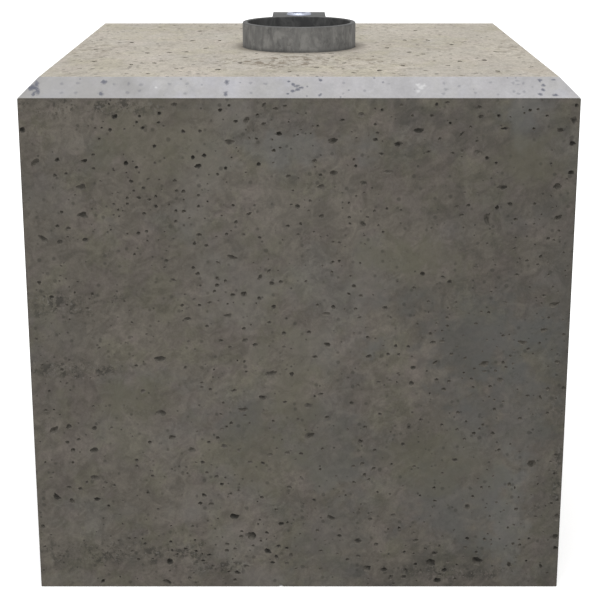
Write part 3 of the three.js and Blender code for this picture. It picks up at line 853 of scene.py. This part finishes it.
# darker streaky patches on the top: across, back, reach across, reach back, in millimetres, how strong
topPatches = [
    (4, -160, 140, 95, 1.0), (-150, 60, 90, 110, 0.22), (165, 40, 110, 120, 0.26),
    (262, -20, 50, 130, 0.45), (-250, -250, 90, 40, 0.24), (60, -235, 150, 50, 0.28),
    (0, 235, 420, 130, 0.26), (-90, -120, 60, 60, 0.30), (-250, -30, 55, 120, 0.55),
]


def makeFloated(groups):
    look = floatedFinish
    made, tree, sockets, place = makeMaterial("floated concrete", Specular_IOR_Level=0.3)
    streaky = stretched(tree, place, look["stretch"])
    base, grain = cementColour(tree, streaky, groups, look)
    dusty = ramp(tree, cloud(tree, streaky, 6 * mm, 5, 0.7), 0.52, 0.66)
    base = lay(tree, base, look["smudge"], dusty, look["dustShare"])
    # brownish streaks, most of them in a few patches
    streaks = ramp(tree, cloud(tree, streaky, 4.5 * mm, 4, 0.7), 0.49, 0.60)
    edge = raggedness(tree, place, 22 * mm, 1.8)
    patches = look["streaksAnywhere"]
    for across, back, wide, deep, share in topPatches:
        centre = (across * mm, back * mm, blockHigh.z)
        spot = stain(tree, groups, place, edge, centre, (wide, deep, stainDepth))
        patches = maths(tree, "MAXIMUM", patches, times(tree, spot, share))
    base = lay(tree, base, look["brown"], times(tree, streaks, patches))
    shifted = stretched(tree, place, (0.7, 1, 1), shift=aside)
    base = addPinholes(tree, groups, shifted, base, look["smudge"], *look["faint"])[0]
    # open pinholes, painted dark for the shade inside them
    base, pin = addPinholes(tree, groups, place, base, look["pinholeShade"], *look["pins"])
    # painted shade on the top round the tube's foot, where the tube's contact shadow falls
    outside = tubeHigh.x
    footShade = ramp(tree, fromAxis(tree, place), outside + look["footShadeWide"], outside, 0.0, look["footShadeShare"])
    base = lay(tree, base, look["smudge"], footShade)
    setConcrete(tree, sockets, place, base, grain, pin, look)
    return made


chamferFinish = {
    "plain": colour(0.470, 0.463, 0.473),
    "olive": colour(0.490, 0.482, 0.468),
    "pink": colour(0.500, 0.484, 0.500),
    "cool": colour(0.470, 0.474, 0.524),
    "mark": colour(0.130, 0.138, 0.175),
    "dull": colour(0.330, 0.322, 0.305),
    "chalk": colour(0.80, 0.80, 0.80),
    "patch": 30 * mm,
    "oliveShare": 0.5,
    "pinkShare": 0.4,
    "coolShare": 0.7,
    "mottle": (0.95, 1.05),
    "blotch": (0.90, 1.10),
    "speck": (0.95, 1.05),
    "dullShare": 0.5,
    "fainterShare": 0.36,
    "markShare": 0.85,
    "chalkShare": 0.5,
    "pins": (9, 1.6, 0.5, 0.5),
    "roughness": (0.6, 0.8),
    "bump": (0.3 * mm, 0.6, 0.25),
}

# marks on the front chamfer: across, up its slope from the middle, reach across and up, in millimetres
chamferMarks = [
    (-281, 5, 3.6, 6), (-286, -1, 8, 4), (-279, -5, 4, 6), (-291, 1, 5, 3), (-283, -9, 2.6, 4),
    (-209, 7, 3.8, 4.2), (-211, -8, 3.8, 4.6), (-77, 7, 3.6, 4.2), (-78, -8, 3.4, 4.6), (2, 0, 5, 2.4),
    (-2, 2, 4.5, 2.6), (-2, -2.2, 4.5, 2.6), (-6, 4, 3.6, 2.8), (-6, -4.4, 3.6, 2.8), (-11, 8, 2.4, 1.8),
    (-12, -8, 2.4, 1.8), (23, 10, 3.1, 3), (22.5, -10, 3.2, 3), (-283.5, 1, 5, 5), (258, 9.5, 3.2, 3),
    (261, 3, 2.8, 2.4), (260.5, -3, 2.8, 2.4), (257, -9, 3.2, 2.6), (273, 10.5, 3.6, 2), (273, -10, 4, 2.4),
]
fainterMarks = [
    (-254, 5, 3, 2.6), (-253, -7, 3, 2.6), (-237, 6, 3.4, 2), (-238, -7, 2.6, 2.6), (-198, 4, 2.6, 2.6),
    (-182, 5, 2.6, 3), (-183, -6.5, 3, 2.4), (-169, 4, 3.4, 2.4), (-170, -4, 2.6, 2.2), (-139, 5, 2.6, 2),
    (-120, 5, 3, 2.4), (-121, -7.5, 3, 2.4), (-104, 4, 2, 2), (-52, 6, 3, 2.4), (-51, -7, 2.6, 2.4),
    (-36, 5, 3, 2.2), (48, 6, 2.4, 2), (47, -8, 2.4, 2), (70, -4, 2.4, 2), (96, 5, 2.2, 2),
    (155, 6, 3.4, 2.6), (157, -2, 3, 2.6), (154, -8, 3, 2.2), (171, 2, 2.4, 2), (188, -7, 2.6, 2),
    (234, 9, 4, 1.8), (240, 6, 2.2, 3), (234, 4, 4, 1.7), (240, -5, 2.2, 3), (234, -8, 4, 1.8),
    (229, -5, 2.2, 3), (229, 6, 2.2, 3), (205, 7, 2.4, 2), (212, -9, 2.4, 2), (249, 1, 2.4, 1.8),
]
chalkMarks = [
    (127, 3.5, 3.6, 2.8), (130, 0, 4.6, 3.6), (133.5, 3, 3.2, 2.8), (127.5, -4.5, 3.4, 2.8),
    (-153, 0, 1.8, 2),
]


def onChamfer(across, up):
    # a point on the front chamfer, from millimetres in its own plane
    half = concrete["chamfer"] / 2
    slope = up * mm * 0.5 ** 0.5
    return (across * mm, blockLow.y + half + slope, blockHigh.z - half + slope)


def makeChamferFinish(groups):
    look = chamferFinish
    made, tree, sockets, place = makeMaterial("chamfer concrete", Specular_IOR_Level=0.35)
    base, grain = cementColour(tree, place, groups, look)
    # the left end is duller
    edge = raggedness(tree, place, 12 * mm, 1.2)
    dull = stain(tree, groups, place, edge, onChamfer(-275, 0), (190, 50, 50))
    base = lay(tree, base, look["dull"], dull, look["dullShare"])
    # pinholes, painted dark with the marks' colour for the shade inside them
    base, pin = addPinholes(tree, groups, place, base, look["mark"], *look["pins"])
    edge = raggedness(tree, place, 1.5 * mm, 1.6)
    layers = ("mark", "fainterShare", fainterMarks), ("mark", "markShare", chamferMarks)
    for tint, share, marks in layers + (("chalk", "chalkShare", chalkMarks),):
        for across, up, wide, tall in marks:
            spot = stain(tree, groups, place, edge, onChamfer(across, up), (wide, tall, tall))
            base = lay(tree, base, look[tint], spot, look[share])
    setConcrete(tree, sockets, place, base, grain, pin, look)
    return made


holeFinish = {
    "rim": colour(0.178, 0.162, 0.138),
    "shadedDepths": colour(0.070, 0.066, 0.058),
    "dusty": colour(0.165, 0.152, 0.131),
    "dustyBand": (90, 170, 430, 500),    # dustier between these heights, in millimetres
    "fromTop": (18 * mm, 10 * mm),       # below it a hole has the sides' colours, above it the top's
    "bandShare": 0.62,
    "topRim": colour(0.400, 0.368, 0.310),
    "topShadedDepths": colour(0.100, 0.092, 0.080),
    "fadesOver": 1.7 * mm,
}


def makeHoleFinish(groups):
    # as pale as the face at the edge and darker with depth, the darkening being painted shade of the hole's
    # inside, and some holes are dustier than others
    look = holeFinish
    made, tree, sockets, place = makeMaterial("air hole", Specular_IOR_Level=0.2, Roughness=0.95)
    axes = addNode(tree, "SeparateXYZ", {"Vector": place}).outputs
    belowTop = maths(tree, "SUBTRACT", blockHigh.z, axes["Z"])
    sideDeep = useGroup(tree, groups["arrises"], Place=place)["Deep"]
    deep = maths(tree, "MINIMUM", sideDeep, belowTop)
    onTop = ramp(tree, belowTop, *look["fromTop"])
    dust = ramp(tree, cloud(tree, place, 9 * mm, 1), 0.42, 0.58)
    low, lowEnd, highStart, high = [height * mm for height in look["dustyBand"]]
    band = times(tree, ramp(tree, axes["Z"], low, lowEnd), ramp(tree, axes["Z"], high, highStart))
    dust = maths(tree, "MAXIMUM", dust, times(tree, band, look["bandShare"]))
    sideShadedDepths = blend(tree, dust, look["shadedDepths"], look["dusty"])
    rim = blend(tree, onTop, look["rim"], look["topRim"])
    shadedDepths = blend(tree, onTop, sideShadedDepths, look["topShadedDepths"])
    # painted shade: darker with depth below the face
    base = blend(tree, ramp(tree, deep, 0.0, look["fadesOver"]), rim, shadedDepths)
    grain = useGroup(tree, groups["grain"], Place=place, Size=1.0 * mm)["Grain"]
    setFinish(tree, sockets, base, grain, 0.3 * mm, 0.8)
    return made


chipFinish = {
    "paste": colour(0.36, 0.35, 0.33),
    "stone": colour(0.55, 0.54, 0.52),
}


def makeChipFinish(groups):
    made, tree, sockets, place = makeMaterial("fresh chip", Specular_IOR_Level=0.3, Roughness=0.9)
    grain = useGroup(tree, groups["grain"], Place=place, Size=1.5 * mm)["Grain"]
    base = lay(tree, chipFinish["paste"], chipFinish["stone"], ramp(tree, grain, 0.35, 0.65))
    setFinish(tree, sockets, base, grain, 0.4 * mm)
    return made


# Socket tube

tube = {
    "wall": 6.55 * mm,
    "rimRound": 1.3 * mm,
    "steps": 160,
}


def makeTube(material):
    outside, inside = tubeHigh.x, tubeHigh.x - tube["wall"]
    bm = bmesh.new()
    profile = [(inside, tubeLow.z), (outside, tubeLow.z), (outside, tubeHigh.z), (inside, tubeHigh.z)]
    addTurned(bm, profile, tube["steps"])
    rim = [e for e in bm.edges
           if all(v.co.z > tubeHigh.z - tiny for v in e.verts) and e.calc_face_angle(0) > radians(45)]
    bevelEdges(bm, rim, tube["rimRound"], 3)
    made = newPiece("steel_socket", bm, [material])
    smoothBelow(made, 40)
    standFor(made, "socket_tube")
    print("socket tube:", len(made.data.polygons), "faces")


tubeFinish = {
    "plain": colour(0.214, 0.212, 0.206),
    "pale": colour(0.296, 0.292, 0.280),
    "dark": colour(0.105, 0.105, 0.103),
    "inside": colour(0.052, 0.053, 0.054),
    "insidePale": colour(0.108, 0.109, 0.108),
    "rim": colour(0.115, 0.116, 0.114),
    "speck": colour(0.040, 0.038, 0.036),
    "roughness": (0.5, 0.72),
}


def makeTubeFinish(groups):
    look = tubeFinish
    made, tree, sockets, place = makeMaterial("weathered tube", Metallic=0.35)
    streaks = cloud(tree, stretched(tree, place, (1, 1, 0.3)), 4 * mm, 4, 0.6)
    smears = cloud(tree, stretched(tree, place, (1, 1, 0.6)), 7 * mm, 5, 0.65, 0.8)
    blotches = cloud(tree, stretched(tree, place, (1, 1, 0.7), shift=(1.3, 0.7, 2.1)), 6 * mm, 5, 0.7)
    grain = useGroup(tree, groups["grain"], Place=place, Size=1.2 * mm)["Grain"]
    base = lay(tree, look["plain"], look["pale"], ramp(tree, smears, 0.44, 0.62))
    base = lay(tree, base, look["dark"], ramp(tree, streaks, 0.50, 0.68, 0.0, 0.35))
    base = lay(tree, base, look["dark"], ramp(tree, blotches, 0.50, 0.64, 0.0, 0.62))
    base = lay(tree, base, look["dark"], ramp(tree, grain, 0.55, 0.68, 0.0, 0.3))
    # dark specks near the foot, and painted shade in a band at the very foot, where the contact shadow falls
    axes = addNode(tree, "SeparateXYZ", {"Vector": place}).outputs
    height = axes["Z"]
    low = ramp(tree, height, blockHigh.z + 16 * mm, blockHigh.z, 0.0, 0.7)
    dots = useGroup(tree, groups["pinholes"], Place=place, Spacing=12 * mm, Widest=3.2 * mm)["Mask"]
    base = lay(tree, base, look["speck"], times(tree, dots, low))
    # painted shade: a dark band at the very foot, for the contact shadow
    base = lay(tree, base, look["speck"], ramp(tree, height, blockHigh.z + 5 * mm, blockHigh.z, 0.0, 0.45))
    # the rim is darker, and painted shade darkens the outside towards its left and right, where it turns away
    inner = tubeHigh.x - tube["wall"]
    rim = ramp(tree, height, tubeHigh.z - 1.6 * mm, tubeHigh.z - 0.4 * mm, 0, 0.8)
    base = lay(tree, base, look["rim"], rim)
    away = ramp(tree, maths(tree, "ABSOLUTE", axes["X"]), 0.5 * inner, inner)
    base = lay(tree, base, look["dark"], away, 0.16)
    # the inside is darker still: painted shade inside the tube, mottled, and darker again towards its left
    # and right ends
    shadedLining = lay(tree, look["inside"], look["insidePale"], ramp(tree, smears, 0.42, 0.66))
    # painted shade, darker towards the inside's left and right ends
    shadedLining = lay(tree, shadedLining, look["speck"], away, 0.6)
    inward = ramp(tree, fromAxis(tree, place), inner + 1.2 * mm, inner + 0.4 * mm, 0, 0.9)
    base = lay(tree, base, shadedLining, inward)
    height = maths(tree, "ADD", grain, streaks)
    setFinish(tree, sockets, base, height, 0.25 * mm, 0.5, ramp(tree, streaks, 0.3, 0.7, *look["roughness"]))
    return made


# Earthing pad and its boss

pad = {
    "bevel": 0.8 * mm,
    "bevelSegments": 3,
    "under": 8 * mm,         # steel left under the hole
    "minor": 6.95 * mm,      # the thread's crest radius
    "major": 7.9 * mm,       # and its root
    "pitch": 2 * mm,
    "steps": 64,
}
boss = {
    "footEase": (0.1 * mm, 0.5 * mm),    # in and up
    "land": 15.5 * mm,       # radius of the flat ring's outer edge
    "landEase": 0.3 * mm,
    "rim": 2 * mm,           # width of the raised rim round the land
    "rimSlope": 0.2 * mm,
    "groove": 0.25 * mm,     # how far the land lies below its rim
    "mouth": 9 * mm,         # radius of the countersink
    "mouthEase": (0.7 * mm, 0.2 * mm),   # out and down
    "mouthDeep": 2 * mm,
}


def threadProfile(low, high):
    # crests and roots as rings, from low to high
    turns = int((high - low) / pad["pitch"])
    points = []
    for turn in range(turns):
        foot = low + turn * pad["pitch"]
        points.append((pad["minor"], foot))
        points.append((pad["major"], foot + pad["pitch"] / 2))
    points.append((pad["minor"], low + turns * pad["pitch"]))
    return points


def makePad(material):
    bm = bmesh.new()
    addBox(bm, padLow, padHigh)
    edges = [e for e in bm.edges if any(v.co.z > padHigh.z - tiny for v in e.verts)]
    bevelEdges(bm, edges, pad["bevel"], pad["bevelSegments"])
    made = newPiece("earthing_plate", bm, [material])
    bm = bmesh.new()
    foot = padLow.z + pad["under"]
    above = padHigh.z + pad["pitch"]
    profile = [(0, foot)] + threadProfile(foot, padHigh.z) + [(pad["minor"], above), (0, above)]
    addTurned(bm, profile, pad["steps"], (padMiddle.x, padMiddle.y))
    cutFrom(made, [newPiece("pad_bore", bm, [])])
    smoothBelow(made, 30)
    standFor(made, "earthing_pad")
    print("earthing pad:", len(made.data.polygons), "faces")


def makeBoss(material):
    low, high = bossLow.z, bossHigh.z
    foot = (bossHigh.x - bossLow.x) / 2
    land, rimInside, mouth = boss["land"], boss["land"] - boss["rim"], boss["mouth"]
    landHeight = high - boss["groove"]
    footIn, footUp = boss["footEase"]
    mouthOut, mouthDown = boss["mouthEase"]
    profile = [
        (pad["minor"], low), (foot, low), (foot - footIn, low + footUp),
        (land + boss["landEase"], high - boss["landEase"]), (land, high),
        (rimInside, high), (rimInside - boss["rimSlope"], landHeight),
        (mouth + mouthOut, landHeight), (mouth, landHeight - mouthDown),
        (pad["minor"] + boss["rimSlope"], high - boss["mouthDeep"]),
    ]
    bm = bmesh.new()
    addTurned(bm, profile, pad["steps"], (padMiddle.x, padMiddle.y))
    made = newPiece("earthing_ring", bm, [material])
    smoothBelow(made, 30)
    standFor(made, "earthing_boss")
    print("earthing boss:", len(made.data.polygons), "faces")


padFinish = {
    "plain": colour(0.095, 0.098, 0.097),
    "pale": colour(0.122, 0.123, 0.120),
    "dark": colour(0.062, 0.063, 0.063),
    "edge": 5 * mm,          # how far in the painted shade of the edges reaches
    "edgeShadeShare": 0.5,
    "roughness": (0.45, 0.65),
}


def makePadFinish(groups):
    look = padFinish
    made, tree, sockets, place = makeMaterial("dull plate", Metallic=0.35)
    smears = cloud(tree, place, 9 * mm, 4, 0.6, 0.5)
    base = lay(tree, look["plain"], look["pale"], ramp(tree, smears, 0.42, 0.64))
    axes = addNode(tree, "SeparateXYZ", {"Vector": place}).outputs
    across = maths(tree, "ABSOLUTE", maths(tree, "SUBTRACT", axes["X"], padMiddle.x))
    along = maths(tree, "ABSOLUTE", maths(tree, "SUBTRACT", axes["Y"], padMiddle.y))
    half = padHigh.x - padMiddle.x
    fromMiddle = maths(tree, "MAXIMUM", across, along)
    # painted shade, darker towards the plate's edges
    edge = ramp(tree, fromMiddle, half - look["edge"], half, 0.0, look["edgeShadeShare"])
    base = lay(tree, base, look["dark"], edge)
    grain = useGroup(tree, groups["grain"], Place=place, Size=1.0 * mm)["Grain"]
    base = lay(tree, base, look["dark"], ramp(tree, grain, 0.54, 0.66, 0.0, 0.35))
    setFinish(tree, sockets, base, grain, 0.2 * mm, 0.4, ramp(tree, smears, 0.3, 0.7, *look["roughness"]))
    return made


bossFinish = {
    "plain": colour(0.670, 0.710, 0.840),
    "dull": colour(0.19, 0.205, 0.25),
    "mouthShadeShare": 0.92,
    "filmShare": 0.25,
    "ringsPerMetre": 1800.0,
    "roughness": (0.36, 0.50),
}


def makeBossFinish(groups):
    look = bossFinish
    made, tree, sockets, place = makeMaterial("turned stainless", Metallic=0.9)
    radius = fromAxis(tree, stretched(tree, place, shift=(-padMiddle.x, -padMiddle.y, 0)))
    # turning marks: rings of uneven depth
    along = times(tree, radius, look["ringsPerMetre"])
    rings = addNode(tree, "TexNoise", {"W": along, "Scale": 1.0, "Detail": 2.0}, noise_dimensions="1D")
    rings = rings.outputs["Fac"]
    mouth = boss["mouth"]
    # painted shade in the countersunk mouth of the tapped hole
    mouthShade = ramp(tree, radius, mouth + 0.8 * mm, mouth - 0.4 * mm, 0.0, look["mouthShadeShare"])
    base = lay(tree, look["plain"], look["dull"], mouthShade)
    film = ramp(tree, cloud(tree, place, 6 * mm, 3), 0.5, 0.7, 0.0, look["filmShare"])
    base = lay(tree, base, look["dull"], film)
    setFinish(tree, sockets, base, rings, 0.05 * mm, 0.4, ramp(tree, rings, 0.3, 0.7, *look["roughness"]))
    return made


# Floor and light

studio = {
    "floorSize": 40.0,
    "floorSeen": 0.95,       # how pale the floor looks
    "floorBounce": 0.35,     # how much light it throws back on the block
    "floorGlow": 0.36,
    "backdrop": 1.0,
    "skyLight": 0.6,
    "softLight": 1.6,        # from above
    "softness": 60,          # degrees
    "lean": (14, -4),        # degrees towards the front and the left
}


def makeFloor():
    bm = bmesh.new()
    bmesh.ops.create_grid(bm, x_segments=1, y_segments=1, size=studio["floorSize"] / 2)
    made, tree, sockets, place = makeMaterial("pale floor", Roughness=1.0, Specular_IOR_Level=0.0)
    seen = addNode(tree, "LightPath").outputs["Is Camera Ray"]
    bounce, pale = studio["floorBounce"], studio["floorSeen"]
    base = lay(tree, colour(bounce, bounce, bounce), colour(pale, pale, pale), seen)
    feed(tree, sockets["Base Color"], base)
    feed(tree, sockets["Emission Strength"], times(tree, seen, studio["floorGlow"]))
    sockets["Emission Color"].default_value = colour(1, 1, 1)
    floor = newPiece("floor", bm, [made])


def makeLight():
    world = bpy.data.worlds.new("studio")
    world.use_nodes = True
    tree = world.node_tree
    seen = addNode(tree, "LightPath").outputs["Is Camera Ray"]
    background = tree.nodes["Background"]
    background.inputs["Color"].default_value = colour(1, 1, 1)
    strength = ramp(tree, seen, 0.0, 1.0, studio["skyLight"], studio["backdrop"])
    feed(tree, background.inputs["Strength"], strength)
    bpy.context.scene.world = world
    data = bpy.data.lights.new("soft light", "SUN")
    data.energy = studio["softLight"]
    data.angle = radians(studio["softness"])
    light = bpy.data.objects.new("soft light", data)
    forward, left = studio["lean"]
    light.rotation_euler = (radians(forward), radians(left), 0)
    bpy.context.scene.collection.objects.link(light)
    bpy.context.scene.view_settings.view_transform = "Standard"


makeCamera()
makeFloor()
makeLight()
print("camera, floor and light made")

groups = {
    "grain": makeGrainGroup(),
    "pinholes": makePinholeGroup(),
    "spot": makeSpotGroup(),
    "arrises": makeArrisGroup(),
}
blockMaterials = [makeFormed(groups), makeFloated(groups), makeChamferFinish(groups), makeHoleFinish(groups),
                  makeChipFinish(groups)]
print("concrete finishes made")

makeBlock(blockMaterials)
makeTube(makeTubeFinish(groups))
makePad(makePadFinish(groups))
makeBoss(makeBossFinish(groups))
